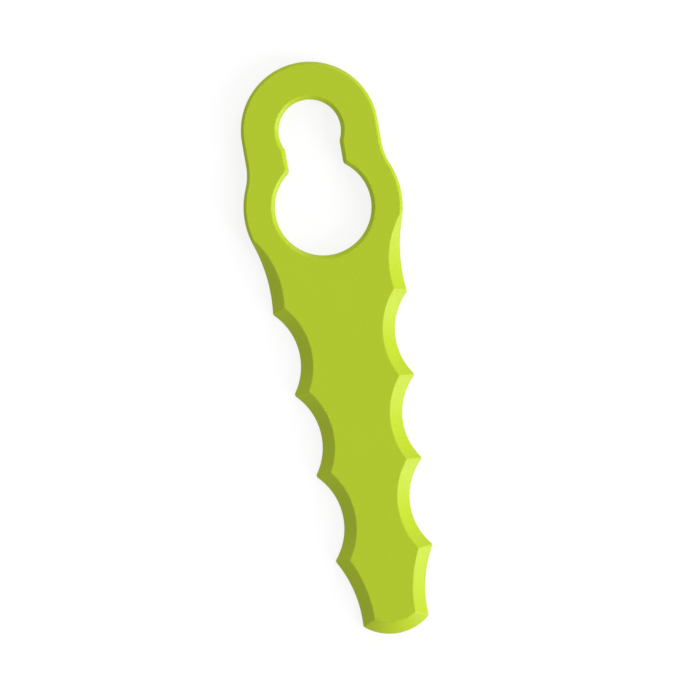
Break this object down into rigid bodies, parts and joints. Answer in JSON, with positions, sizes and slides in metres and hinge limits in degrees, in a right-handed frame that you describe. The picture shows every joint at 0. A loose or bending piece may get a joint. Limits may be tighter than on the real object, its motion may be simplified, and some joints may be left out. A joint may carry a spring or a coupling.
{
  "type": "plastic mower blade",
  "caption": "Flat moulded cutting blade with a keyhole at the head, hollow flanks, bevelled scallops along both edges and a rounded tip; it swings on a headed post.",
  "frame": {"origin": "centre of the keyhole's pivot seat, on the flat underside that the blade lies on", "axes": "+X along the blade from the pivot seat to the tip, +Z out of the bevelled upper side, +Y completes the right-handed set"},
  "size_m": [0.088, 0.0242, 0.0023],
  "materials": {
    "green_nylon": "satin"
  },
  "bodies": {
    "root": {"blade": "green_nylon"}
  },
  "joints": []
}
